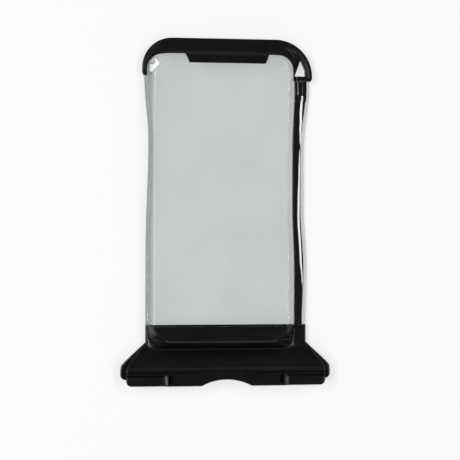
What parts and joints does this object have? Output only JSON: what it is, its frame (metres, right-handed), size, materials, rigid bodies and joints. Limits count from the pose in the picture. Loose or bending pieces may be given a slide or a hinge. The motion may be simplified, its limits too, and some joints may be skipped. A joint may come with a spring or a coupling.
{
  "type": "waterproof phone pouch",
  "caption": "Clear waterproof pouch dished to hold a phone, with a black end cap, a side welt, a triangular lanyard hole and a flared magnetic mouth.",
  "frame": {"origin": "centre of the pouch's outline, on the table that its back lies on", "axes": "+X across the width, towards the welt and the lanyard hole; +Y along the length, from the magnetic mouth to the end cap; +Z out of the clear front"},
  "size_m": [0.119, 0.1958, 0.0112],
  "materials": {
    "clear_film": "clear flexible film, glossy, slightly wavy",
    "black_gloss": "moulded black soft plastic, glossy",
    "black_satin": "moulded black soft plastic, satin",
    "seal_rubber": "dark grey soft rubber, matt",
    "magnet": "nickel-plated magnet"
  },
  "bodies": {
    "root": {"front_window": "clear_film", "back_sheet": "clear_film", "end_cap": "black_gloss", "side_welt": "black_gloss", "front_lip": "black_satin", "back_lip": "black_satin", "front_seal_strip": "seal_rubber", "back_seal_strip": "seal_rubber", "front_magnet_1": "magnet", "front_magnet_2": "magnet", "front_magnet_3": "magnet", "front_magnet_4": "magnet", "front_magnet_5": "magnet", "front_magnet_6": "magnet", "back_magnet_1": "magnet", "back_magnet_2": "magnet", "back_magnet_3": "magnet", "back_magnet_4": "magnet", "back_magnet_5": "magnet", "back_magnet_6": "magnet"}
  },
  "joints": []
}
